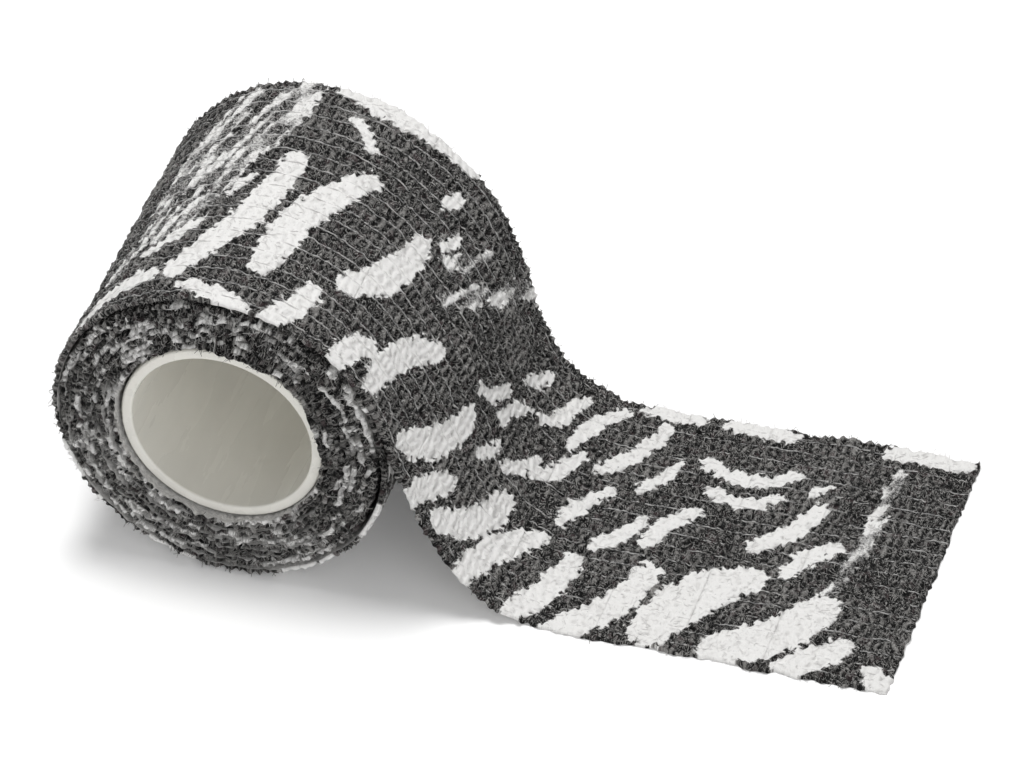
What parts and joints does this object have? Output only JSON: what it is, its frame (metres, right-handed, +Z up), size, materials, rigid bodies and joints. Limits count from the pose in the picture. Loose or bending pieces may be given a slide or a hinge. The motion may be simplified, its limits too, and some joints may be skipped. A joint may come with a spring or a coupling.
{
  "type": "hand wrap",
  "caption": "Roll of crinkled self-clinging elastic hand wrap on a plastic tube, with a free tail that peels off the roll and lies flat; it unrolls, lifts, bends and stretches.",
  "frame": {"origin": "middle of the core tube's axis", "axes": "+Y along the core tube's axis, +X the way the free tail lies, +Z up; seen from -Y the wrap winds outward clockwise"},
  "size_m": [0.1227, 0.05, 0.0505],
  "materials": {
    "printed_web": "matte crinkled",
    "backing_web": "matte crinkled",
    "elastic_yarn": "matte",
    "core_plastic": "smooth"
  },
  "bodies": {
    "core": {"core_tube": "core_plastic"},
    "pack": {"pack_printed_web": "printed_web", "pack_elastic_yarns": "elastic_yarn", "pack_backing_web": "backing_web"},
    "outer_turn": {"outer_turn_printed_web": "printed_web", "outer_turn_elastic_yarns": "elastic_yarn", "outer_turn_backing_web": "backing_web"},
    "tail_1": {"tail_1_printed_web": "printed_web", "tail_1_elastic_yarns": "elastic_yarn", "tail_1_backing_web": "backing_web"},
    "tail_2": {"tail_2_printed_web": "printed_web", "tail_2_elastic_yarns": "elastic_yarn", "tail_2_backing_web": "backing_web"},
    "tail_3": {"tail_3_printed_web": "printed_web", "tail_3_elastic_yarns": "elastic_yarn", "tail_3_backing_web": "backing_web"},
    "tail_4": {"tail_4_printed_web": "printed_web", "tail_4_elastic_yarns": "elastic_yarn", "tail_4_backing_web": "backing_web"},
    "tail_5": {"tail_5_printed_web": "printed_web", "tail_5_elastic_yarns": "elastic_yarn", "tail_5_backing_web": "backing_web"},
    "tail_6": {"tail_6_printed_web": "printed_web", "tail_6_elastic_yarns": "elastic_yarn", "tail_6_backing_web": "backing_web"}
  },
  "joints": [
    {"name": "roll_turn", "type": "hinge", "parent": "outer_turn", "child": "pack", "pos_m": [0, 0, 0], "axis": [0, 1, 0], "continuous": true},
    {"name": "core_slide", "type": "slide", "parent": "pack", "child": "core", "axis": [0, 1, 0], "range_m": [-0.052, 0.052]},
    {"name": "tail_peel", "type": "hinge", "parent": "outer_turn", "child": "tail_1", "pos_m": [0.02188, 0, 0.01264], "axis": [0, -1, 0], "range_deg": [0, 45]},
    {"name": "tail_bend_1", "type": "hinge", "parent": "tail_1", "child": "tail_2", "pos_m": [0.03282, 0, -0.01523], "axis": [0, -1, 0], "range_deg": [0, 25]},
    {"name": "tail_bend_2", "type": "hinge", "parent": "tail_2", "child": "tail_3", "pos_m": [0.04788, 0, -0.02464], "axis": [0, -1, 0], "range_deg": [0, 30]},
    {"name": "tail_bend_3", "type": "hinge", "parent": "tail_3", "child": "tail_4", "pos_m": [0.06029, 0, -0.02464], "axis": [0, -1, 0], "range_deg": [0, 30]},
    {"name": "tail_bend_4", "type": "hinge", "parent": "tail_4", "child": "tail_5", "pos_m": [0.07269, 0, -0.02464], "axis": [0, -1, 0], "range_deg": [0, 30]},
    {"name": "tail_stretch", "type": "slide", "parent": "tail_5", "child": "tail_6", "axis": [1, 0, 0], "range_m": [0, 0.012], "stiffness_N_per_m": 400}
  ]
}
